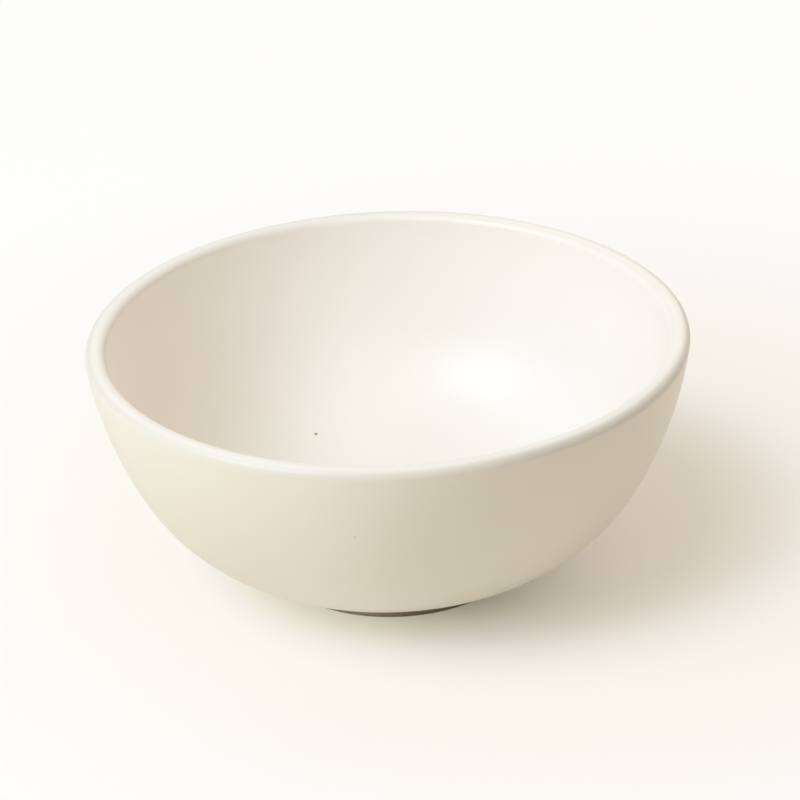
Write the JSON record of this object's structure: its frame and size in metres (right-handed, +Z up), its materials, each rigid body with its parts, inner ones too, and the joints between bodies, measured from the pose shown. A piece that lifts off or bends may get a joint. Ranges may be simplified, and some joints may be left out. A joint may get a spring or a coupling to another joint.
{
  "type": "latte bowl",
  "caption": "Wide round stoneware drinking bowl without a handle, ivory glaze inside and out, rounded lip, bare clay foot ring to stand on.",
  "frame": {"origin": "middle of the foot ring, on the plane that the bowl stands on", "axes": "+Z up along the axis of the bowl; X and Y are level and alike, because the bowl is round"},
  "size_m": [0.15, 0.15, 0.0637],
  "materials": {
    "fired_clay": "bare fired stoneware, matt and slightly sandy",
    "liner_glaze": "satin ivory glaze, poured inside",
    "ivory_glaze": "satin ivory glaze"
  },
  "bodies": {
    "root": {"clay_body": "fired_clay", "inside_glaze": "liner_glaze", "outside_glaze": "ivory_glaze", "base_glaze": "ivory_glaze"}
  },
  "joints": []
}
